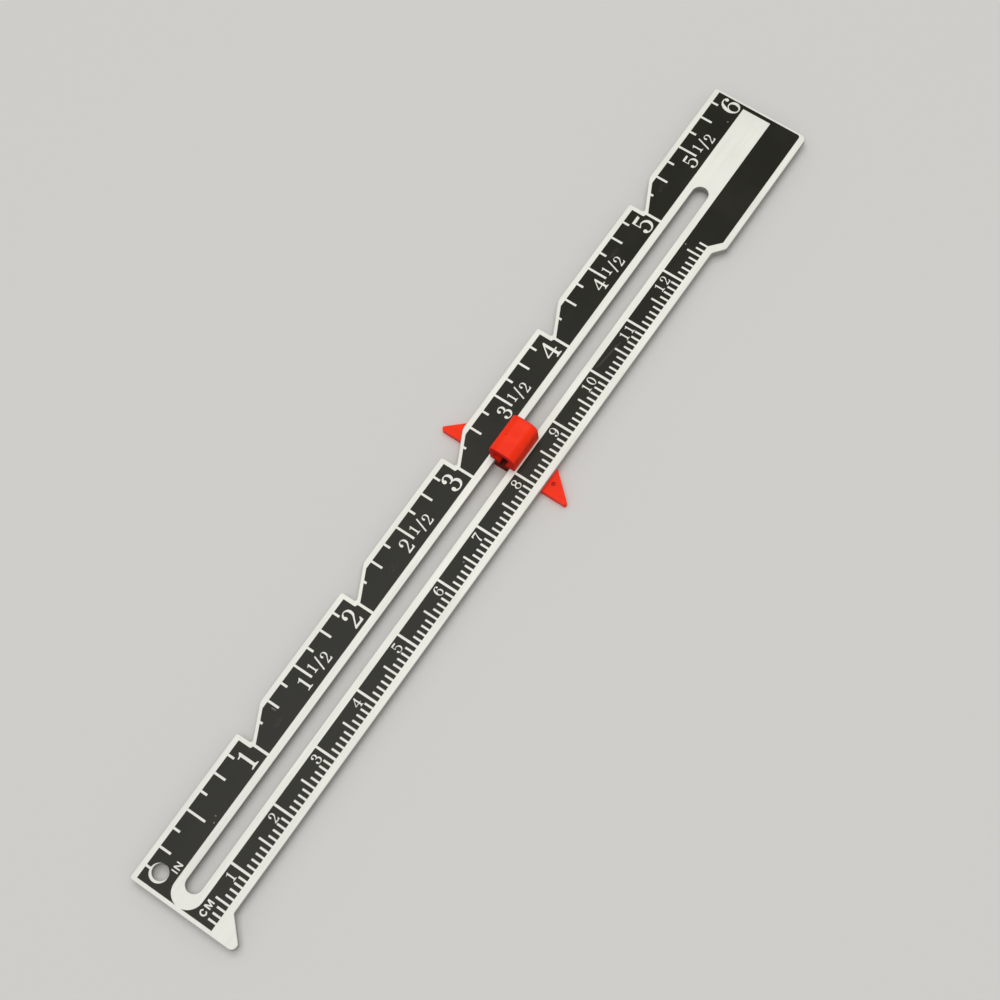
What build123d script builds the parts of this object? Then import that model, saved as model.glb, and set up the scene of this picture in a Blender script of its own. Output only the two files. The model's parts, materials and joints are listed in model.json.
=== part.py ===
from build123d import *
from math import radians, sqrt, tan
import os

# Sewing gauge: a slotted aluminium rule whose red slider marks a length to be repeated.
# Its own frame: X runs from the zero end to the six inch end, Y points to the inch edge,
# Z points up out of the printed face. The slot's centre line lies above the X axis. The
# origin is halfway along the blade, on the surface that the gauge lies on.

# Printed scales
inch = 25.4
centimetre = 10.0
millimetre = 1.0
eighths_per_inch = 8
first_millimetre_marked = 2

# Blade, with reaches measured from the slot's centre line
blade_length = 151.4
blade_thickness = 1.0
inch_edge_reach = 8.25
metric_edge_reach = 7.07
end_panel_reach = 8.6
punched_edge_radius = 0.12
back_edge_break = 0.08
end_corner_radius = 0.35
panel_corner_radius = 1.0

# Stepped notches on the inch edge, one for each whole inch
notch_wall_lag = 0.1
notch_depth = 2.75
notch_run = 5.5
step_tip_radius = 0.45
notch_root_radius = 0.3
ramp_top_radius = 2.0

# Lug at the zero end, a pivot for drawing curves and a turner for corners
lug_depth = 3.13
lug_tip_flat = 0.35
lug_nose_radius = 0.9
lug_heel_radius = 0.3
lug_root_radius = 0.5

# End panel, which is wider, with its length measured from the six inch end
panel_length = 25.1
panel_shoulder_run = 1.8
panel_shoulder_radius = 0.8

# Slot and hanging hole, with places measured from the zero end
slot_width = 2.63
slot_start = 3.15
slot_end_margin = 16.15
hanging_hole_diameter = 2.5
hanging_hole_place = 3.15
hanging_hole_reach = 5.05

# Black coat, with its bare borders measured in from the blade's own edges
coat_thickness = 0.04
zero_end_border = 0.68
far_end_border = 0.42
inch_border = 0.93
metric_border = 1.13
panel_border = 1.0
panel_shoulder_border = 0.6
notch_wall_border = 0.75
notch_root_border = 0.25
ramp_border = 0.64
bare_band_margin = 1.185
bare_band_outset = 0.05
end_strip_width = 0.6
hole_ring_margin = 0.23
hole_ring_lag = 0.25
hole_ring_rise = 0.08
coat_corner_radius = 0.45

# Scale marks, which are bare windows in the coat
inch_zero_outset = 0.4
inch_line_width = 0.45
inch_tick_width = 0.38
half_tick_length = 3.2
quarter_tick_length = 1.95
eighth_tick_length = 1.1
ramp_tick_length = 1.4
metric_zero_outset = 0.22
centimetre_line_width = 0.4
metric_tick_width = 0.34
millimetre_tick_length = 1.4
five_tick_length = 2.37

# Slider, a single moulding
glide_gap = 0.06
neck_clearance = 0.12
stop_clearance = 0.05
slider_place = 79.9
slider_length = 6.5
pointer_thickness = 1.2
pointer_reach = 11.25
pointer_angle = 41.5
pointer_tip_radius = 0.35
pointer_heel_radius = 0.8
shoulder_overhang = 1.05
shoulder_thickness = 0.7
grip_height = 3.95
grip_crown_flat = 1.6
grip_end_radius = 0.2
grip_wall = 0.8
leg_gap = 0.9
channel_radius = 0.25
mould_mark_diameter = 0.6
mould_mark_depth = 0.15
mould_mark_place = 1.85
mould_mark_reach = 7.9

# Heights of the layers above the surface that the gauge lies on
blade_bottom = pointer_thickness + glide_gap
blade_top = blade_bottom + blade_thickness
shoulder_bottom = blade_top + glide_gap
grip_top = shoulder_bottom + grip_height

# Planes that start at the blade's zero end, so that X in them is the distance from it
zero_end = -blade_length / 2
blade_back = Plane((zero_end, 0, blade_bottom))
blade_front = Plane((zero_end, 0, blade_top))

slot_radius = slot_width / 2
slot_end = blade_length - slot_end_margin
slot_length = slot_end - slot_start
slot_middle = (slot_start + slot_end) / 2
panel_start = blade_length - panel_length
panel_edge_start = panel_start + panel_shoulder_run


def inch_place(eighths):
    """Distance from the zero end to a mark of the inch scale, counted in eighths."""
    return eighths * inch / eighths_per_inch - inch_zero_outset


def metric_place(millimetres):
    """Distance from the zero end to a mark of the metric scale, counted in millimetres."""
    return millimetres * millimetre - metric_zero_outset


def notch_wall(number):
    """Distance from the zero end to the upright wall of a stepped notch."""
    return inch_place(number * eighths_per_inch) + notch_wall_lag


# There is a notch at each whole inch that leaves room for its ramp before the six inch end
last_notch_room = blade_length - end_corner_radius - ramp_top_radius - notch_run
notches = range(1, 1 + int((last_notch_room - notch_wall(0)) / inch))


# Blade. Its outline is one closed run of corners, clockwise from the inch corner of the
# zero end, each with the radius that rounds it.
notch_root = inch_edge_reach - notch_depth
lug_reach = metric_edge_reach + lug_depth
lug_tip_width = lug_nose_radius + lug_tip_flat

corners = [((0, inch_edge_reach), end_corner_radius)]
for number in notches:
    wall = notch_wall(number)
    corners += [
        ((wall, inch_edge_reach), step_tip_radius),
        ((wall, notch_root), notch_root_radius),
        ((wall + notch_run, inch_edge_reach), ramp_top_radius),
    ]
corners += [
    ((blade_length, inch_edge_reach), end_corner_radius),
    ((blade_length, -end_panel_reach), panel_corner_radius),
    ((panel_edge_start, -end_panel_reach), panel_shoulder_radius),
    ((panel_start, -metric_edge_reach), panel_shoulder_radius),
    ((lug_tip_width + lug_depth, -metric_edge_reach), lug_root_radius),
    ((lug_tip_width, -lug_reach), lug_heel_radius),
    ((0, -lug_reach), lug_nose_radius),
]
outline_places, outline_radii = zip(*corners)

with BuildPart() as blade:
    with BuildSketch(blade_back):
        with BuildLine():
            FilletPolyline(*outline_places, radius=outline_radii, close=True)
        make_face()
        with Locations((slot_middle, 0)):
            SlotOverall(slot_length, slot_width, mode=Mode.SUBTRACT)
        with Locations((hanging_hole_place, hanging_hole_reach)):
            Circle(hanging_hole_diameter / 2, mode=Mode.SUBTRACT)
    extrude(amount=blade_thickness)
    # Punching rolls the rims of the front over, and tumbling blunts those of the back
    back, front = blade.faces().filter_by(Axis.Z).sort_by(Axis.Z)
    fillet(front.edges(), punched_edge_radius)
    chamfer(back.edges(), back_edge_break)


# Black coat. It is printed on the front as one outline with bare borders, and the marks,
# the band that the slider runs in and a ring round the hanging hole are left open in it.
coat_top = inch_edge_reach - inch_border
coat_bottom = metric_edge_reach - metric_border
coat_panel_bottom = end_panel_reach - panel_border
coat_end = blade_length - far_end_border
ramp_slope = notch_depth / notch_run
ramp_coat_run = (coat_top - notch_root + ramp_border) / ramp_slope

band_reach = slot_radius + bare_band_margin
band_turn = zero_end_border - bare_band_outset + band_reach
band_end = coat_end - end_strip_width

hole_ring_radius = hanging_hole_diameter / 2 + hole_ring_margin
hole_ring_place = (hanging_hole_place - hole_ring_lag, hanging_hole_reach + hole_ring_rise)

# The coat of the inch side stays clear of each notch's wall, dips under its root and
# follows the ramp up again
inch_coat = [(coat_end, 0), (zero_end_border, 0), (zero_end_border, coat_top)]
for number in notches:
    wall = notch_wall(number)
    inch_coat += [
        (wall - notch_wall_border, coat_top),
        (wall - notch_wall_border, notch_root - notch_root_border),
        (wall, notch_root - ramp_border),
        (wall + ramp_coat_run, coat_top),
    ]
inch_coat += [(coat_end, coat_top)]

metric_coat = [
    ((zero_end_border, 0), 0),
    ((coat_end, 0), 0),
    ((coat_end, -coat_panel_bottom), coat_corner_radius),
    ((panel_edge_start + panel_shoulder_border, -coat_panel_bottom), 0),
    ((panel_start + panel_shoulder_border, -coat_bottom), 0),
    ((zero_end_border, -coat_bottom), 0),
]
metric_places, metric_radii = zip(*metric_coat)


def clear_band():
    """Leave open the bare band along the slot, which is round at the zero end."""
    with Locations(((band_turn + band_end) / 2, 0)):
        Rectangle(band_end - band_turn, 2 * band_reach, mode=Mode.SUBTRACT)
    with Locations((band_turn, 0)):
        Circle(band_reach, mode=Mode.SUBTRACT)


def clear_marks(places, width, foot, edge):
    """Leave open marks of one kind, from their foot out to an edge of the blade."""
    with Locations(*[(place, (foot + edge) / 2) for place in places]):
        Rectangle(width, abs(edge - foot), mode=Mode.SUBTRACT)


# Marks of the inch scale, sorted by the length of their ticks. The first mark after each
# notch stands on its ramp.
half = eighths_per_inch // 2
quarter = half // 2
last_eighth = int((blade_length + inch_zero_outset) / inch * eighths_per_inch)
inch_marks = range(1, last_eighth + 1)
whole = [mark for mark in inch_marks if mark % eighths_per_inch == 0]
halves = [mark for mark in inch_marks if mark % eighths_per_inch == half]
quarters = [mark for mark in inch_marks if mark % half == quarter]
on_ramps = [mark + 1 for mark in whole if mark < last_eighth]
eighths = [mark for mark in inch_marks if mark % quarter and mark not in on_ramps]

with BuildPart() as inch_scale_coat:
    with BuildSketch(blade_front):
        with BuildLine():
            Polyline(*inch_coat, close=True)
        make_face()
        clear_band()
        with Locations(hole_ring_place):
            Circle(hole_ring_radius, mode=Mode.SUBTRACT)
        with Locations((hanging_hole_place, hanging_hole_reach)):
            Circle(hanging_hole_diameter / 2 + punched_edge_radius, mode=Mode.SUBTRACT)
        for marks, width, foot in (
            (whole, inch_line_width, 0),
            (halves, inch_tick_width, coat_top - half_tick_length),
            (quarters, inch_tick_width, coat_top - quarter_tick_length),
            (eighths, inch_tick_width, coat_top - eighth_tick_length),
            (on_ramps, inch_tick_width, coat_top - ramp_tick_length),
        ):
            clear_marks([inch_place(mark) for mark in marks], width, foot, inch_edge_reach)
    extrude(amount=coat_thickness)


# Marks of the metric scale. The first millimetre's mark would fall on the bare border, and
# the last ones stand on the upper half of the end panel's shoulder.
last_millimetre = int((panel_start + panel_shoulder_run / 2 + metric_zero_outset) / millimetre)
metric_marks = range(first_millimetre_marked, last_millimetre + 1)
per_centimetre = round(centimetre / millimetre)
tens = [mark for mark in metric_marks if mark % per_centimetre == 0]
fives = [mark for mark in metric_marks if mark % per_centimetre == per_centimetre // 2]
ones = [mark for mark in metric_marks if mark not in tens + fives]

with BuildPart() as metric_scale_coat:
    with BuildSketch(blade_front):
        with BuildLine():
            FilletPolyline(*metric_places, radius=metric_radii, close=True)
        make_face()
        clear_band()
        for marks, width, foot in (
            (tens, centimetre_line_width, 0),
            (fives, metric_tick_width, five_tick_length - coat_bottom),
            (ones, metric_tick_width, millimetre_tick_length - coat_bottom),
        ):
            clear_marks([metric_place(mark) for mark in marks], width, foot, -metric_edge_reach)
    extrude(amount=coat_thickness)


# Slider. It is moulded in one piece: a flat double pointer under the blade, a neck of two
# legs in the slot, and an arched grip whose shoulders stand on the bare band. The channel
# through the neck and the grip lets the legs close up when the grip is snapped in.
neck_reach = slot_radius - neck_clearance
grip_reach = neck_reach + shoulder_overhang
grip_crown_radius = grip_reach - grip_crown_flat / 2
room_reach = grip_reach - grip_wall
room_crown_radius = grip_crown_radius - grip_wall
room_top = grip_top - grip_wall
room_bottom = shoulder_bottom + shoulder_thickness
tip_slope = tan(radians(pointer_angle))
tip_tangent = pointer_tip_radius / tan(radians(pointer_angle / 2))
sharp_reach = pointer_reach - pointer_tip_radius + tip_tangent
heel_reach = sharp_reach - slider_length / tip_slope

slider_base = Plane((zero_end + slider_place, 0, 0))
slider_section = Plane(slider_base.origin, x_dir=(0, 1, 0), z_dir=(1, 0, 0))

with BuildPart() as slider:
    with BuildSketch(slider_section):
        with BuildLine():
            FilletPolyline(
                (-grip_reach, shoulder_bottom),
                (-grip_reach, grip_top),
                (grip_reach, grip_top),
                (grip_reach, shoulder_bottom),
                radius=grip_crown_radius,
            )
            Line((grip_reach, shoulder_bottom), (-grip_reach, shoulder_bottom))
        make_face()
    extrude(amount=slider_length)
    # All edges of the two ends are eased, but for the two lowest, which meet the blade
    end_rims = slider.faces().filter_by(Axis.X).edges().sort_by(Axis.Z)[2:]
    fillet(end_rims, grip_end_radius)

    with BuildSketch(slider_section):
        with Locations((0, (pointer_thickness + shoulder_bottom) / 2)):
            Rectangle(2 * neck_reach, shoulder_bottom - pointer_thickness)
    extrude(amount=slider_length)

    with BuildSketch(slider_base):
        with BuildLine():
            FilletPolyline(
                (0, -sharp_reach),
                (0, sharp_reach),
                (slider_length, heel_reach),
                (slider_length, -heel_reach),
                radius=(pointer_tip_radius, pointer_tip_radius, pointer_heel_radius, pointer_heel_radius),
                close=True,
            )
        make_face()
    extrude(amount=pointer_thickness)

    with BuildSketch(slider_section):
        with BuildLine():
            FilletPolyline(
                (-leg_gap / 2, pointer_thickness),
                (-leg_gap / 2, shoulder_bottom),
                (-room_reach, room_bottom),
                (-room_reach, room_top),
                (room_reach, room_top),
                (room_reach, room_bottom),
                (leg_gap / 2, shoulder_bottom),
                (leg_gap / 2, pointer_thickness),
                radius=(
                    channel_radius,
                    channel_radius,
                    room_crown_radius,
                    room_crown_radius,
                    channel_radius,
                    channel_radius,
                ),
            )
            Line((leg_gap / 2, pointer_thickness), (-leg_gap / 2, pointer_thickness))
        make_face()
    extrude(amount=slider_length, mode=Mode.SUBTRACT)

    # Ejector pins leave a shallow round mark on each pointer
    with BuildSketch(slider_base.offset(pointer_thickness)):
        with Locations((mould_mark_place, mould_mark_reach), (mould_mark_place, -mould_mark_reach)):
            Circle(mould_mark_diameter / 2)
    extrude(amount=-mould_mark_depth, mode=Mode.SUBTRACT)


# The slider runs until the square ends of its neck meet the slot's round ends
corner_room = slot_radius - sqrt(slot_radius**2 - neck_reach**2)
travel_to_zero = slider_place - slot_start - corner_room - stop_clearance
travel_to_far_end = slot_end - corner_room - stop_clearance - slider_place - slider_length
print(f"slider travel: {travel_to_zero:.2f} towards zero, {travel_to_far_end:.2f} away from it")

os.makedirs("parts", exist_ok=True)

blade.part.label = "blade"
export_step(blade.part, "parts/blade.step")

inch_scale_coat.part.label = "inch_scale_coat"
export_step(inch_scale_coat.part, "parts/inch_scale_coat.step")

metric_scale_coat.part.label = "metric_scale_coat"
export_step(metric_scale_coat.part, "parts/metric_scale_coat.step")

slider.part.label = "slider"
export_step(slider.part, "parts/slider.step")
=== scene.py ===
# %% [markdown]
# # A sewing gauge, dressed
# A sewing gauge is a six inch aluminium rule for marking hems, pleats and buttonholes. One strip of
# sheet is punched in one hit, with stepped notches along the inch edge, a hook at the zero end, a
# long slot and a hanging hole. A black print carries the scales. A red plastic slider snaps up
# through the slot and holds a measure.
#
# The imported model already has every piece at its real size, so nothing is moved or resized here.
# What is left is the part that the eye meets: bare metal, ink with its numerals, moulded plastic,
# a table top, and light.

import json
import math

import bmesh
import bpy
from mathutils import Matrix, Vector


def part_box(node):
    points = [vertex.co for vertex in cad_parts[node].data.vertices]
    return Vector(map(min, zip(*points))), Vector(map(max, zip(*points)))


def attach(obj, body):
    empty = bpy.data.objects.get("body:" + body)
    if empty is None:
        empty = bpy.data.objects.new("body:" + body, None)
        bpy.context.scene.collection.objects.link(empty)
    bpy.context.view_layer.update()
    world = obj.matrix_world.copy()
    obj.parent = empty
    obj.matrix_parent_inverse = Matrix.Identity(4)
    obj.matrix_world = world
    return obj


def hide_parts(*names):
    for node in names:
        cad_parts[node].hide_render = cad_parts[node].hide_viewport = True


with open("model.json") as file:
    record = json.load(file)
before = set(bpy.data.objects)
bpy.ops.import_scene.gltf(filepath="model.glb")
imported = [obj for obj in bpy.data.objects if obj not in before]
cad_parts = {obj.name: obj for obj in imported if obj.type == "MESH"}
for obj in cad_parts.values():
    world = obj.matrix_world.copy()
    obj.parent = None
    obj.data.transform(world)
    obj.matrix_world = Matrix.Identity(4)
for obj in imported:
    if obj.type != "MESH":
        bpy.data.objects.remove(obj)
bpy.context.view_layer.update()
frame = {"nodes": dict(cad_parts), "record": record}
nodes = frame["nodes"]
mm = 0.001
print("nodes:", ", ".join(sorted(nodes)))

# %% [markdown]
# ## Where things are on the rule
# Every mark on a rule is named by its distance from the scales' zero, so this lesson measures along
# the rule from that zero too. The sheet ends just inside it: its end edge is 0.4 mm past zero. Widths
# are measured from the slot's centre line, with the inch scale on the positive side. Heights come
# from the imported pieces, so the ink here can't drift away from the metal under it.

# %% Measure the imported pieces
blade_low, blade_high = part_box("blade")
ink_low, ink_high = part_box("inch_scale_coat")
slider_low, slider_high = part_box("slider")
end_past_zero = 0.4 * mm
zero = blade_low.x - end_past_zero
inch = 25.4 * mm
centimetre = 10 * mm
print("scale zero at x =", round(zero / mm, 2), "mm")
print("ink", round((ink_high.z - ink_low.z) / mm, 3), "mm thick")

# %% [markdown]
# ## The camera
# The photograph was taken from almost straight above, from the side of the centimetre scale, with
# the gauge lying across the picture. A long lens flattens it. The camera's place is measured from the
# middle of the rule, and its turn is given as three angles, because a look-at point leaves the roll
# of the picture open.

# %% Place the camera
camera_place = Vector((-81.1, -83.7, 290.7)) * mm
camera_turn = (21.187, 4.055, -55.238)
lens_length = 75.6
nearest_seen = 10 * mm
lens = bpy.data.cameras.new("camera")
lens.lens = lens_length
lens.clip_start = nearest_seen
camera = bpy.data.objects.new("camera", lens)
bpy.context.scene.collection.objects.link(camera)
camera.location = camera_place
camera.rotation_euler = [math.radians(turn) for turn in camera_turn]
bpy.context.scene.camera = camera
print("camera", round(camera_place.length / mm), "mm from the middle of the rule")

# %% [markdown]
# ## Shader sums as plain Python
# A material is a small machine of nodes. Wiring one by hand hides what it works out, so two helpers
# keep it readable. `Value` wraps a node's output, and the plain signs + - * / on it add the Math nodes
# for that sum. `Finish` is one material, and its `node` method adds any other node: first its settings,
# then the values or links of its sockets.

# %% Wrap a socket so that sums add nodes
class Value:
    """A node's output. Sums written with it add Math nodes to its material."""

    def __init__(self, finish, socket):
        self.finish = finish
        self.socket = socket

    def math(self, operation, *values):
        return self.finish.node("ShaderNodeMath", {"operation": operation}, dict(enumerate(values)))

    def __add__(self, other):
        return self.math("ADD", self, other)

    def __sub__(self, other):
        return self.math("SUBTRACT", self, other)

    def __rsub__(self, other):
        return self.math("SUBTRACT", other, self)

    def __mul__(self, other):
        return self.math("MULTIPLY", self, other)

    def __truediv__(self, other):
        return self.math("DIVIDE", self, other)

    def __abs__(self):
        return self.math("ABSOLUTE", self)

    def __lt__(self, other):
        return self.math("LESS_THAN", self, other)

    def __gt__(self, other):
        return self.math("GREATER_THAN", self, other)

    __radd__ = __add__


# %% Build a material node by node
class Finish:
    """One material, with its surface shader ready and places on the piece in millimetres."""

    def __init__(self, name):
        self.material = bpy.data.materials.new(name)
        self.material.use_nodes = True
        self.tree = self.material.node_tree
        self.shader = self.tree.nodes["Principled BSDF"]
        metres = self.node("ShaderNodeTexCoord", result="Object")
        self.place = self.node("ShaderNodeVectorMath", {"operation": "SCALE"}, {0: metres, "Scale": 1 / mm})
        places = [self.node("ShaderNodeSeparateXYZ", {}, {0: self.place}, axis) for axis in "XYZ"]
        self.x, self.y, self.z = places

    def node(self, kind, settings=(), values=(), result=0):
        made = self.tree.nodes.new(kind)
        for name, setting in dict(settings).items():
            setattr(made, name, setting)
        for name, value in dict(values).items():
            self.fill(made.inputs[name], value)
        return Value(self, made.outputs[result])

    def fill(self, socket, value):
        if isinstance(value, Value):
            self.tree.links.new(value.socket, socket)
        else:
            socket.default_value = value

    def surface(self, **values):
        for name, value in values.items():
            self.fill(self.shader.inputs[name.replace("_", " ")], value)

    def mix(self, share, first, second):
        # The Mix node's colour inputs are sockets 6 and 7, and its colour output is socket 2
        return self.node("ShaderNodeMix", {"data_type": "RGBA"}, {0: share, 6: first, 7: second}, 2)


# %% [markdown]
# ### Patterns that every finish uses
# Noise does most of the work on real surfaces. Stretched a long way one way it is the grain of rolled
# sheet, and left alone it is the grey mottle of handling. `ramp` turns a wide range of values into a
# clean 0 to 1, which is what a mask has to be.

# %% Add the common patterns
def noise(finish, size, stretch=(1, 1, 1), detail=3):
    """A cloudy pattern from 0 to 1, whose clouds are about so many millimetres across."""
    moved = finish.node("ShaderNodeMapping", {}, {"Vector": finish.place, "Scale": stretch})
    return finish.node("ShaderNodeTexNoise", {}, {"Vector": moved, "Scale": 1 / size, "Detail": detail})


def ramp(value, start, end):
    """0 at the start, 1 at the end, smooth between."""
    return value.finish.node(
        "ShaderNodeMapRange",
        {"interpolation_type": "SMOOTHSTEP"},
        {"Value": value, "From Min": start, "From Max": end},
    )


def bump(finish, height, strength, depth):
    """A surface that stands up by so many millimetres where the height is 1."""
    values = {"Strength": strength, "Distance": depth * mm, "Height": height}
    return finish.node("ShaderNodeBump", {}, values)


spot_edge = 1
spot_core = 0.4


def spot(finish, along, across, long, wide):
    """A soft oval mark, placed from the scales' zero and the slot's centre line, in millimetres."""
    reach_x = (finish.x - (zero / mm + along)) / (long / 2)
    reach_y = (finish.y - across) / (wide / 2)
    return ramp(reach_x * reach_x + reach_y * reach_y, spot_edge, spot_core)


print("a spot fades out from", round(math.sqrt(spot_core), 2), "of its reach")


# %% [markdown]
# ## The numerals
# The scales are printed in negative: the ink covers the sheet, and every tick and figure is a window
# where bare metal shows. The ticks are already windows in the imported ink. The figures are cut here the
# same way, because a painted figure would lose the thin dark step that the ink's edge makes.
#
# The figures have the heavy and thin strokes and round ends of an old school book type. Each is a
# closed outline on a grid where the figure is 100 tall. A point says how far across, how far up, and
# how the line runs through it: level, upright, at an angle in degrees, or round a corner.

# %% Draw the figures
corner = None
level = 0
upright = 90
figure_outlines = {
    "0": [
        [(0, 50, upright), (33, 100, level), (66, 50, upright), (33, 0, level)],
        [(16, 50, upright), (33, 6, level), (50, 50, upright), (33, 94, level)],
    ],
    "1": [
        [(2, 0, corner), (48, 0, corner), (48, 5, corner), (34, 13, upright), (34, 100, corner),
         (28, 100, corner), (18, 91, 30), (3, 88, corner), (3, 82, corner), (19, 82, corner),
         (19, 13, upright), (2, 5, corner)],
    ],
    "2": [
        [(2, 0, corner), (2, 6, corner), (27, 34, 50), (47, 74, upright), (31, 95, level),
         (17, 82, corner), (23, 71, upright), (14, 61, level), (4, 72, upright), (32, 100, level),
         (61, 74, upright), (38, 35, 47), (17, 12, corner), (44, 11, level), (56, 23, corner),
         (61, 23, corner), (59, 0, corner)],
    ],
    "3": [
        [(33, 101, level), (60, 77, upright), (46, 54, level), (69, 28, upright), (33, -1, level),
         (1, 22, upright), (11, 34, level), (21, 23, upright), (17, 12, corner), (33, 5, level),
         (53, 28, upright), (34, 50, level), (23, 50, corner), (23, 56, corner), (33, 56, level),
         (45, 77, upright), (32, 95, level), (20, 87, corner), (25, 78, upright), (15, 68, level),
         (5, 79, upright)],
    ],
    "4": [
        [(49, 101, corner), (57, 101, corner), (57, 38, corner), (72, 38, corner), (72, 31, corner),
         (57, 31, corner), (57, 12, upright), (68, 5, corner), (68, 0, corner), (31, 0, corner),
         (31, 5, corner), (42, 12, upright), (42, 31, corner), (0, 31, corner), (0, 37, corner)],
        [(42, 38, corner), (9, 38, corner), (42, 82, corner)],
    ],
    "5": [
        [(11, 101, corner), (62, 101, corner), (58, 86, corner), (17, 85, corner), (17, 58, corner),
         (38, 66, level), (72, 33, upright), (34, -1, level), (1, 22, upright), (11, 32, level),
         (21, 22, upright), (17, 11, corner), (34, 5, level), (56, 33, upright), (35, 60, level),
         (17, 51, corner), (11, 51, corner)],
    ],
    "6": [
        [(0, 46, upright), (42, 101, level), (67, 84, upright), (57, 74, level), (48, 84, upright),
         (53, 92, corner), (42, 95, level), (17, 55, corner), (40, 64, level), (70, 32, upright),
         (36, -1, level)],
        [(16, 32, upright), (36, 5, level), (54, 32, upright), (37, 58, level)],
    ],
    "7": [
        [(0, 76, corner), (3, 101, corner), (64, 101, corner), (64, 94, corner), (43, 50, 68),
         (38, 0, corner), (20, 0, corner), (26, 36, 72), (52, 86, corner), (16, 86, corner),
         (6, 76, corner)],
    ],
    "8": [
        [(33, 101, level), (62, 77, upright), (51, 54, corner), (68, 27, upright), (33, -1, level),
         (-2, 27, upright), (15, 54, corner), (4, 77, upright)],
        [(33, 95, level), (17, 79, upright), (33, 60, level), (48, 77, upright)],
        [(33, 48, level), (12, 26, upright), (33, 5, level), (54, 25, upright)],
    ],
    "9": [
        [(70, 54, upright), (28, -1, level), (3, 16, upright), (13, 26, level), (22, 16, upright),
         (17, 8, corner), (28, 5, level), (53, 45, corner), (30, 36, level), (0, 68, upright),
         (34, 101, level)],
        [(54, 68, upright), (34, 95, level), (16, 68, upright), (33, 42, level)],
    ],
    "/": [[(0, 0, corner), (10, 0, corner), (42, 100, corner), (32, 100, corner)]],
}
print(len(figure_outlines), "figures drawn")

# %% [markdown]
# ### The unit marks
# The two unit marks, IN and CM, are plain bold capitals without serifs, so their outlines are mostly
# corners. Only the C is round.

# %% Draw the capitals
capital_outlines = {
    "I": [[(4, 0, corner), (22, 0, corner), (22, 98, corner), (4, 98, corner)]],
    "N": [
        [(2, 0, corner), (2, 98, corner), (20, 98, corner), (72, 32, corner), (72, 98, corner),
         (90, 98, corner), (90, 0, corner), (72, 0, corner), (20, 66, corner), (20, 0, corner)],
    ],
    "C": [
        [(88, 76, corner), (50, 102, level), (0, 50, upright), (50, -2, level), (88, 24, corner),
         (70, 37, corner), (50, 19, level), (24, 50, upright), (50, 81, level), (70, 63, corner)],
    ],
    "M": [
        [(0, 0, corner), (0, 100, corner), (27, 100, corner), (53, 36, corner), (79, 100, corner),
         (106, 100, corner), (106, 0, corner), (85, 0, corner), (85, 66, corner), (60, 0, corner),
         (46, 0, corner), (21, 66, corner), (21, 0, corner)],
    ],
}
print("capitals:", " ".join(capital_outlines))

# %% [markdown]
# ### From outline to solid
# A flat Bezier curve fills itself, and an outline inside another one becomes a hole, as in the 4 and the
# 0. A little extrusion makes it a punch. A handle that reaches 0.55 of the way to its neighbour draws
# the quarter of an ellipse, which is why points at the sides and at the top and foot are enough for a
# round figure.

# %% Turn an outline into a punch
round_handle_share = 0.55
corner_handle_share = 1 / 3
grid = 100
steps_between_points = 5


def handle(point, neighbour):
    """Where a point's handle lies on the side of that neighbour."""
    across, up, heading = point
    step = Vector((neighbour[0] - across, neighbour[1] - up))
    if heading is corner:
        return Vector((across, up, 0)) + step.to_3d() * corner_handle_share
    along = Vector((math.cos(math.radians(heading)), math.sin(math.radians(heading))))
    return Vector((across, up, 0)) + (along * step.dot(along) * round_handle_share).to_3d()


def punch(outlines, weight):
    """A solid of one figure, 1 tall, from 1 below to 1 above its plane, its strokes grown by the weight."""
    curve = bpy.data.curves.new("figure", "CURVE")
    curve.dimensions = "2D"
    curve.fill_mode = "BOTH"
    curve.extrude = grid
    curve.resolution_u = steps_between_points
    curve.offset = weight * grid
    for points in outlines:
        spline = curve.splines.new("BEZIER")
        spline.bezier_points.add(len(points) - 1)
        spline.use_cyclic_u = True
        for place, point in enumerate(points):
            knot = spline.bezier_points[place]
            knot.handle_left_type = knot.handle_right_type = "VECTOR" if point[2] is corner else "FREE"
            knot.co = (point[0], point[1], 0)
            knot.handle_left = handle(point, points[place - 1])
            knot.handle_right = handle(point, points[(place + 1) % len(points)])
    holder = bpy.data.objects.new("figure", curve)
    mesh = bpy.data.meshes.new_from_object(holder)
    bpy.data.objects.remove(holder)
    bpy.data.curves.remove(curve)
    mesh.transform(Matrix.Scale(1 / grid, 4))
    return mesh


print("handles reach", round_handle_share, "of the way on a round stretch")

# %% [markdown]
# ### Where each figure stands
# A figure stands beside its own line, not on it. The large inch figures come just before the notch that
# they count, the half inch labels straddle their tick, and the centimetre figures sit to the left of
# their line. The type was set by hand and it shows, so the larger steps out of line are kept.

# %% Measure the inch type, in millimetres
# How far a whole inch's figure starts from its line, and how far figure and label sit low in places
inch_figure_lefts = {1: -3.05, 2: -3.35, 3: -3.45, 4: -3.3, 5: -3.0, 6: -3.4}
inch_figure_foot = 3.03
inch_figure_height = 3.15
label_drops = {4: 0.12, 5: 0.16, 6: 0.14}
# How far the whole label and its first figure are nudged along from their usual places
half_label_nudges = {5: 0.16}
half_figure_nudges = {1: 0.38, 2: 0, 3: 0, 4: 0, 5: 0}
half_figure_left = -2.3
half_figure_foot = 3.3
half_figure_height = 2.35
# Each sign of the fraction: how far past the tick, how far above the label's foot, how tall
fraction_signs = [("1", 0.68, 0.77, 1.72), ("/", 1.8, 0, 2.35), ("2", 2.95, 0.06, 1.83)]
# Each capital: how far past zero
inch_capital_lefts = {"I": 4.56, "N": 5.1}
inch_capital_foot = 2.88
capital_height = 1.12
print("inch figures", inch_figure_height, "mm tall, half inch figures", half_figure_height, "mm")

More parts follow.
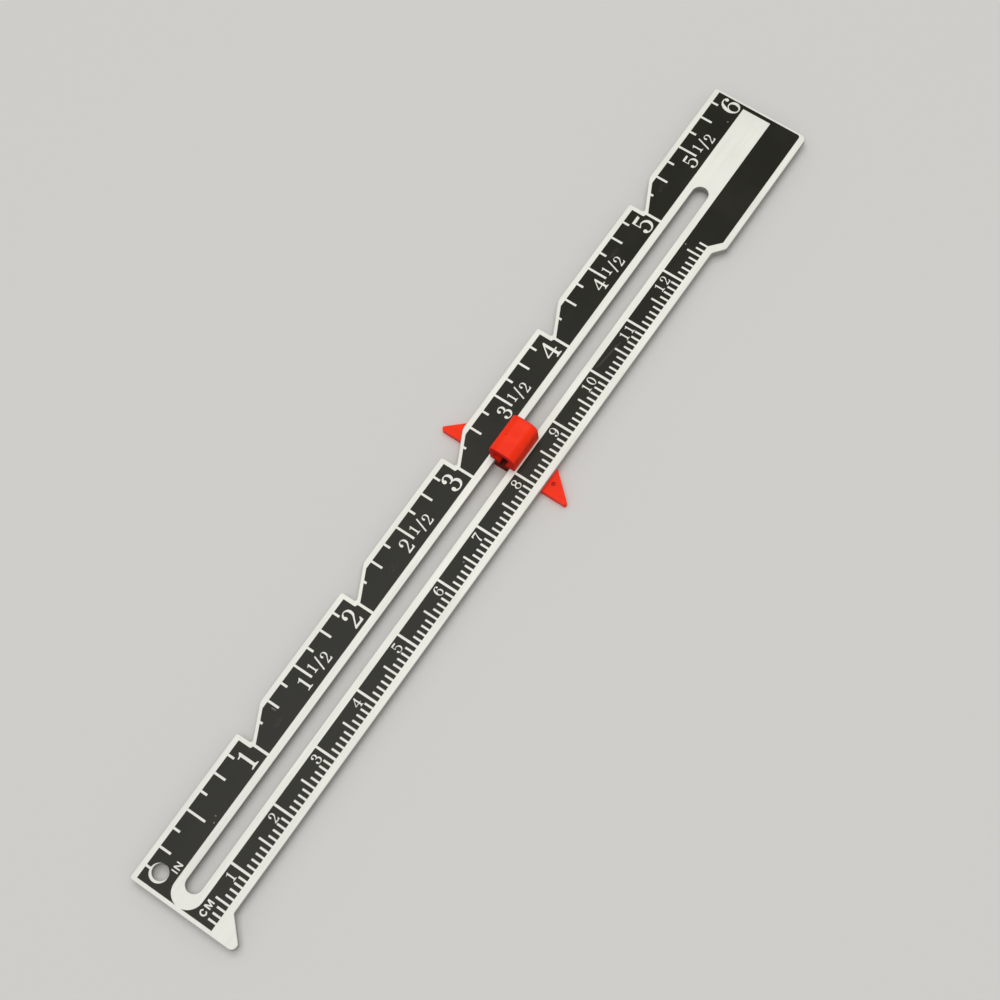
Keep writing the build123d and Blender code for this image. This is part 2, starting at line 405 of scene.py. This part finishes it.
# %% Set the inch type
def inch_type():
    """Each sign of the inch scale, with its left past zero, its foot and its height in millimetres."""
    inch_in_mm = inch / mm
    for number, left in inch_figure_lefts.items():
        foot = inch_figure_foot - label_drops.get(number, 0)
        yield str(number), number * inch_in_mm + left, foot, inch_figure_height
    for number, nudge in half_figure_nudges.items():
        tick = (number + 1 / 2) * inch_in_mm + half_label_nudges.get(number, 0)
        foot = half_figure_foot - label_drops.get(number, 0)
        yield str(number), tick + half_figure_left + nudge, foot, half_figure_height
        for sign, left, rise, height in fraction_signs:
            yield sign, tick + left, foot + rise, height
    for sign, left in inch_capital_lefts.items():
        yield sign, left, inch_capital_foot, capital_height


# %% Set the centimetre type
centimetre_lines_past_tens = 0.18
# How far each figure starts from its line, one list for each centimetre
centimetre_figure_lefts = [
    [-1.98], [-2.12], [-1.97], [-2.18], [-2.3], [-1.97], [-1.93], [-1.93], [-1.94],
    [-3.21, -1.95], [-2.93, -1.55], [-3.22, -1.82],
]
centimetre_figure_foot = -4.39
centimetre_figure_height = 1.6
centimetre_capital_lefts = {"C": 1.92, "M": 3.22}
centimetre_capital_foot = -4.02


def centimetre_type():
    """Each sign of the centimetre scale, as for the inch scale."""
    for number, lefts in enumerate(centimetre_figure_lefts, start=1):
        line = number * centimetre / mm + centimetre_lines_past_tens
        for sign, left in zip(str(number), lefts):
            yield sign, line + left, centimetre_figure_foot, centimetre_figure_height
    for sign, left in centimetre_capital_lefts.items():
        yield sign, left, centimetre_capital_foot, capital_height


print(len(list(inch_type())), "inch signs and", len(list(centimetre_type())), "centimetre signs")

# %% [markdown]
# ## The printed ink
# On the real gauge the ink is one screen print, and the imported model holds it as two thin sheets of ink
# that meet on the slot's centre line. Each gets its own copy with the figures punched out of it. All
# the punches of one scale are gathered into a single cutter, so there is one Boolean cut, and the
# result is a plain closed mesh again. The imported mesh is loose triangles, so the copy is merged first.

# %% Punch the figures out of the ink
outlines = {**figure_outlines, **capital_outlines}
stroke_weight = 0.002
punches = {sign: punch(outlines[sign], stroke_weight) for sign in outlines}
weld_gap = 0.0002 * mm


def cutter_of(name, type_set):
    """One mesh of all the punches of a scale, each in its place through the ink."""
    shape = bmesh.new()
    middle = (ink_low.z + ink_high.z) / 2
    depth = ink_high.z - ink_low.z
    for sign, left, foot, height in type_set:
        before = len(shape.verts)
        shape.from_mesh(punches[sign])
        place = Matrix.Translation((zero + left * mm, foot * mm, middle))
        size = Matrix.Diagonal((height * mm, height * mm, depth, 1))
        bmesh.ops.transform(shape, matrix=place @ size, verts=shape.verts[before:])
    bmesh.ops.remove_doubles(shape, verts=shape.verts, dist=weld_gap)
    bmesh.ops.recalc_face_normals(shape, faces=shape.faces)
    mesh = bpy.data.meshes.new(name)
    shape.to_mesh(mesh)
    shape.free()
    cutter = bpy.data.objects.new(name, mesh)
    bpy.context.scene.collection.objects.link(cutter)
    return cutter


# %% Make one scale's ink
def printed_ink(name, node, type_set):
    """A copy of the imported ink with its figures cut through."""
    shape = bmesh.new()
    shape.from_mesh(nodes[node].data)
    bmesh.ops.remove_doubles(shape, verts=shape.verts, dist=weld_gap)
    mesh = bpy.data.meshes.new(name)
    shape.to_mesh(mesh)
    shape.free()
    ink = bpy.data.objects.new(name, mesh)
    bpy.context.scene.collection.objects.link(ink)
    cutter = cutter_of(name + "_punches", type_set)
    cut = ink.modifiers.new("figures", "BOOLEAN")
    cut.operation = "DIFFERENCE"
    cut.solver = "EXACT"
    cut.object = cutter
    evaluated = ink.evaluated_get(bpy.context.evaluated_depsgraph_get())
    ink.data = bpy.data.meshes.new_from_object(evaluated)
    ink.modifiers.clear()
    bpy.data.objects.remove(cutter)
    ink.data.shade_flat()
    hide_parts(node)
    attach(ink, "rule")
    print(name, "has", len(ink.data.polygons), "faces")
    return ink


inch_ink = printed_ink("inch_scale_print", "inch_scale_coat", inch_type())
centimetre_ink = printed_ink("centimetre_scale_print", "metric_scale_coat", centimetre_type())

# %% [markdown]
# ### The ink's finish
# Screen ink is not quite black and not quite smooth. Up close it has the fine pebble of the mesh it was
# pressed through, and it dries satin. Handling leaves faint scuffs and two hairline scratches. In a few
# specks the ink is thin, where a grain of dust lay on the screen, and once as long as a tick, where a
# misplaced mark was touched up. All of these are soft masks at measured places, because a bare noise
# would scatter them over the whole print.

# %% Name the ink's colours and flaws
ink_black = (0.0092, 0.009, 0.0048, 1)
ink_grey = (0.0145, 0.014, 0.008, 1)
worn_ink = (0.2, 0.19, 0.17, 1)
thin_ink = (0.25, 0.245, 0.23, 1)
# Each flaw: how far past zero, how far from the centre line, how long and how wide, in millimetres.
# A thin spot's last number says how thin its ink is.
thin_spots = [
    (31.2, 5.9, 0.3, 1.05, 0.4), (13.3, 3.0, 0.34, 0.26, 0.6), (14.2, 3.4, 0.28, 0.34, 0.5),
    (64.5, -4.1, 0.3, 0.26, 0.8), (125.8, -2.9, 0.32, 0.28, 0.8), (147.5, 3.3, 0.28, 0.34, 0.7),
]
scuffs = [
    (30.1, 4.1, 2.4, 1.1), (58.2, 4.0, 3.0, 1.2), (118.5, 5.4, 2.8, 0.9), (132.1, 5.6, 2.2, 1.0),
]
# Each scratch starts so far past zero and so far from the centre line
scratch_starts = [(100.5, -2.95), (101.2, -3.2)]
scratch_length = 5.6
scratch_half_width = 0.07
scratch_slope = -0.1
scratch_fade = 0.5
scuff_strength = 0.12
scratch_strength = 0.28
ink_roughness = 0.27
mottle_roughness = 0.06
scuff_roughness = 0.15
ink_shine = 0.15
print(len(thin_spots), "thin spots,", len(scuffs), "scuffs and", len(scratch_starts), "scratches")

# %% Mask the scuffs, thin spots and scratches
ink = Finish("black_screen_ink")
mottle = noise(ink, size=7, detail=4)
pebble = noise(ink, size=0.16, detail=2)
wear = noise(ink, size=0.5, stretch=(0.5, 1.6, 1), detail=4)
scuffed = sum(spot(ink, *mark) for mark in scuffs) * ramp(wear, start=0.35, end=0.8)
thinned = sum(spot(ink, *mark) * strength for *mark, strength in thin_spots)
past_zero = ink.x - zero / mm
scratched = 0
for start, height in scratch_starts:
    end = start + scratch_length
    off_line = abs(ink.y - height - (past_zero - start) * scratch_slope)
    inside = ramp(past_zero, start, start + scratch_fade) * ramp(past_zero, end, end - scratch_fade)
    scratched = scratched + ramp(off_line, scratch_half_width, 0) * inside
print("ink masks:", len(ink.tree.nodes), "nodes")

# %% Mix the ink
base = ink.mix(ramp(mottle, start=0.3, end=0.75), ink_black, ink_grey)
base = ink.mix(scuffed * scuff_strength + scratched * scratch_strength, base, worn_ink)
base = ink.mix(thinned, base, thin_ink)
ink.surface(
    Base_Color=base,
    Roughness=ink_roughness + mottle * mottle_roughness + scuffed * scuff_roughness,
    Specular_IOR_Level=ink_shine,
    Normal=bump(ink, pebble, strength=0.25, depth=0.01),
)
inch_ink.data.materials.append(ink.material)
centimetre_ink.data.materials.append(ink.material)
print("ink finish:", len(ink.tree.nodes), "nodes")

# %% [markdown]
# ## The aluminium
# The blade is half-hard sheet, rolled, blanked and tumbled. Its face is a pale satin with a grain along
# the rolling direction, so light smears a little across it. The punched edges are smooth at the
# top, where the punch rolled them, and rougher below, where the metal tore. Below the top the walls
# are also painted darker, as painted shade. The zero end is a shade duller than the rest, because
# that is the end that is held down on cloth and chalk.
#
# Round the hanging hole the rolled rim and the wall of the hole are coloured ink black, except in the
# bare crescent on the side of the zero end. The imported ink lies flat and stops at the rim, so the rim is
# coloured here, by two circles.

# %% Find the blackened rim of the hanging hole
hole = next(mount for mount in frame["record"]["mounts"] if mount["name"] == "hanging_hole")
hole_x, hole_y = (place / mm for place in hole["pos_m"][:2])
hole_radius = hole["dims"]["r_mm"]
black_rim_radius = hole_radius + 0.2
crescent_radius = hole_radius + 0.23
crescent_x = hole_x - 0.25
crescent_y = hole_y + 0.08


def within(finish, centre_x, centre_y, radius):
    """1 inside a circle seen from above, 0 outside it, in millimetres."""
    off_x = finish.x - centre_x
    off_y = finish.y - centre_y
    return off_x * off_x + off_y * off_y < radius * radius


print("hanging hole at", round(hole_x, 2), round(hole_y, 2), "mm")

# %% Mask the sheet's places, in millimetres
sheet = Finish("satin_aluminium")
face_height = blade_high.z / mm
back_height = blade_low.z / mm
# How far below the face the tear and the painted wall shade start and are full, and how thick the clean
# skin at the back is
shade_and_tear_starts = 0.06
full_shade_and_tear = 0.2
back_skin = 0.1
# Where past zero the dulling by hands starts and is full
handled_from = 95
most_handled = -5
above_back = sheet.z > back_height + back_skin
# Painted shade: the punched walls below the face are coloured darker, and they are also made rougher where
# they tore
tear_and_wall_shade = ramp(sheet.z, face_height - shade_and_tear_starts, face_height - full_shade_and_tear) * above_back
handled = ramp(sheet.x, zero / mm + handled_from, zero / mm + most_handled)
crescent = within(sheet, crescent_x, crescent_y, crescent_radius)
# The rolled rim and the wall of the hole are coloured ink black, except in the crescent
black_rim_and_bore = within(sheet, hole_x, hole_y, black_rim_radius) * (1 - crescent) * above_back
print("punched edges torn below", shade_and_tear_starts, "to", full_shade_and_tear, "mm")

# %% Lay the sheet's grain
grain = noise(sheet, size=0.09, stretch=(0.03, 1, 1), detail=3)
streaks = noise(sheet, size=0.6, stretch=(0.05, 1, 1), detail=4)
cloud = noise(sheet, size=9, detail=4)
rub = noise(sheet, size=0.35, stretch=(0.7, 0.25, 1), detail=3)
grain_height = 0.6
streak_height = 0.25
rub_height = 0.15
height = grain * grain_height + streaks * streak_height + ramp(rub, start=0.62, end=0.8) * rub_height
cloud_strength = 0.5
streak_strength = 0.2
clouded = ramp(cloud, start=0.35, end=0.7) * cloud_strength
dulled = clouded + ramp(streaks, start=0.5, end=0.75) * streak_strength
print("sheet patterns:", len(sheet.tree.nodes), "nodes")

# %% Finish the sheet
clean_metal = (0.775, 0.775, 0.725, 1)
dull_metal = (0.71, 0.71, 0.66, 1)
handled_metal = (0.69, 0.69, 0.652, 1)
# Painted shade: the colour of the punched walls below the face
wall_shade_metal = (0.3, 0.3, 0.28, 1)
wall_shade_strength = 0.8
sheet_metallic = 0.85
sheet_roughness = 0.58
streak_roughness = 0.1
cloud_roughness = 0.06
torn_roughness = 0.1
colour = sheet.mix(dulled, clean_metal, dull_metal)
colour = sheet.mix(handled, colour, handled_metal)
# The walls are painted darker here, as shade
colour = sheet.mix(tear_and_wall_shade * wall_shade_strength, colour, wall_shade_metal)
rough = sheet_roughness + streaks * streak_roughness + cloud * cloud_roughness + tear_and_wall_shade * torn_roughness
sheet.surface(
    # The rim and the wall of the hole take the ink's black
    Base_Color=sheet.mix(black_rim_and_bore, colour, ink_black),
    Metallic=sheet_metallic - black_rim_and_bore * sheet_metallic,
    Roughness=rough,
    Normal=bump(sheet, height, strength=0.3, depth=0.012),
)
nodes["blade"].data.materials.clear()
nodes["blade"].data.materials.append(sheet.material)
print("sheet finish:", len(sheet.tree.nodes), "nodes")

# %% [markdown]
# ## The slider's plastic
# The slider is one moulding in bright red. Moulded plastic takes the texture of its steel mould: a
# fine satin spark on the faces, with broad soft flow marks from the way it filled. The colour goes
# all the way through, so wear doesn't change it much, but the grip is a little glossier where fingers
# polish it. Its two ends are matt, and they are painted darker as painted shade. The tunnel between its
# legs and the lower parts of its ends are painted brown, as painted shade where little light reaches.
# Dirt sits in the pits that the ejector pins left in the pointers, and one fleck is moulded into the
# grip's top. Each of these is a mask, in the slider's own measures.

# %% Measure the slider, in millimetres
slider_along = (slider_low.x - zero) / mm
slider_length = (slider_high.x - slider_low.x) / mm
slider_top = slider_high.z / mm
grip_half_width = 2.3
grip_wall = 0.8
tunnel_half_width = 1.45
pointer_thickness = 1.2
# How thick the clean underside is, and over what distance a mask fades
clean_underside = 0.15
mask_fade = 0.1
# How far in from its two ends the matt and its painted shade start, and how far round the blade's face the
# painted brown shade fades
end_starts = 0.16
low_shade_reach = 0.7
print("slider", round(slider_length, 2), "mm long, from", round(slider_along, 2), "mm along the scales")

# %% Mask the slider's darker places
plastic = Finish("red_moulded_plastic")
tunnel_roof = slider_top - grip_wall
below_roof = ramp(plastic.z, tunnel_roof + mask_fade, tunnel_roof)
tunnel = ramp(abs(plastic.y), tunnel_half_width + mask_fade, tunnel_half_width) * below_roof
from_middle = abs(plastic.x - slider_low.x / mm - slider_length / 2)
end_place = slider_length / 2 - end_starts
end_faces = ramp(from_middle, end_place, end_place + mask_fade)
under_grip = (abs(plastic.y) < grip_half_width) * (plastic.z > clean_underside)
# Painted shade: the two ends are coloured darker, as well as made matt
matt_and_shaded_ends = end_faces * under_grip
# Painted shade: darker towards the bottom, in the tunnel between the legs and on the lower ends
low_down = ramp(plastic.z, face_height + low_shade_reach, face_height - low_shade_reach)
painted_low_shade = (1 - (1 - tunnel) * (1 - end_faces)) * under_grip * low_down
print("plastic masks:", len(plastic.tree.nodes), "nodes")

# %% Place the pits and the fleck
pit_place = 1.85
pit_reach = 7.9
pit_size = (0.85, 0.8)
# As for the ink's flaws: how far past zero, how far from the centre line, how long, how wide
fleck_mark = (83.35, 1.1, 0.3, 0.26)
pits = sum(spot(plastic, slider_along + pit_place, side * pit_reach, *pit_size) for side in (-1, 1))
fleck = spot(plastic, *fleck_mark)
upper_face = plastic.z > pointer_thickness / 2
print("pits", pit_reach, "mm from the centre line")

# %% Finish the slider
bright_red = (0.93, 0.034, 0.006, 1)
deep_red = (0.84, 0.026, 0.004, 1)
# Painted shade: the darker red of the two ends
end_shade_red = (0.6, 0.013, 0.011, 1)
# Painted shade: the brown of the tunnel's bottom and the lower ends
low_shade_brown = (0.13, 0.018, 0.009, 1)
dirty_red = (0.42, 0.008, 0.006, 1)
pit_strength = 0.85
plastic_roughness = 0.42
flow_roughness = 0.1
polish_gloss = 0.08
matt_roughness = 0.4
plastic_shine = 0.12
flow_height = 2
spark = noise(plastic, size=0.12, detail=2)
flow = noise(plastic, size=2.2, stretch=(1, 0.4, 1), detail=3)
polish = ramp(plastic.z, face_height, slider_top)
colour = plastic.mix(ramp(flow, start=0.3, end=0.75), bright_red, deep_red)
# The ends are painted darker here, as shade
colour = plastic.mix(matt_and_shaded_ends, colour, end_shade_red)
# The tunnel and the lower ends are painted brown here, as shade
colour = plastic.mix(painted_low_shade, colour, low_shade_brown)
colour = plastic.mix((pits + fleck) * upper_face * pit_strength, colour, dirty_red)
plastic.surface(
    Base_Color=colour,
    Roughness=plastic_roughness + flow * flow_roughness - polish * polish_gloss + matt_and_shaded_ends * matt_roughness,
    Specular_IOR_Level=plastic_shine,
    Normal=bump(plastic, spark + flow * flow_height, strength=0.2, depth=0.012),
)
nodes["slider"].data.materials.clear()
nodes["slider"].data.materials.append(plastic.material)
print("plastic finish:", len(plastic.tree.nodes), "nodes")

# %% [markdown]
# ## The table top and the light
# The photograph is a packshot: one broad soft box right above, and a plain sheet of paper. The paper
# here is pale and neutral, so nothing tints the metal. The soft box is hung flat and square to the
# picture. Its width sets how soft the thin shadows are, and it reaches just far enough back for its
# mirror image to end on the rule, so that the ink is a shade greyer in the near half, as it is in the
# photograph.

# %% Lay the floor
paper = Finish("pale_paper")
paper_tone = (0.6, 0.595, 0.58, 1)
paper_roughness = 0.9
floor_reach = 1.5
fibre = noise(paper, size=0.4, detail=4)
paper.surface(
    Base_Color=paper_tone,
    Roughness=paper_roughness,
    Normal=bump(paper, fibre, strength=0.15, depth=0.02),
)
shape = bmesh.new()
bmesh.ops.create_grid(shape, x_segments=1, y_segments=1, size=floor_reach)
floor_mesh = bpy.data.meshes.new("floor")
shape.to_mesh(floor_mesh)
shape.free()
floor = bpy.data.objects.new("floor", floor_mesh)
bpy.context.scene.collection.objects.link(floor)
floor_mesh.materials.append(paper.material)
print("floor", 2 * floor_reach, "m across")

# %% Hang the lights
box_height = 1.2
box_width = 0.84
box_depth = 1.1
box_watts = 9.2
box_tint = (1, 0.99, 0.97)
room_tint = (1, 1, 1, 1)
room_strength = 0.5

box = bpy.data.lights.new("soft_box", "AREA")
box.shape = "RECTANGLE"
box.size = box_width
box.size_y = box_depth
box.energy = box_watts
box.color = box_tint
holder = bpy.data.objects.new("soft_box", box)
bpy.context.scene.collection.objects.link(holder)
holder.location = (0, 0, box_height)
holder.rotation_euler.z = camera.rotation_euler.z

world = bpy.data.worlds.new("studio")
world.use_nodes = True
background = world.node_tree.nodes["Background"]
background.inputs["Color"].default_value = room_tint
background.inputs["Strength"].default_value = room_strength
bpy.context.scene.world = world
bpy.context.scene.view_settings.view_transform = "Standard"
print("lights: a soft box", box_height, "m up in a pale room")
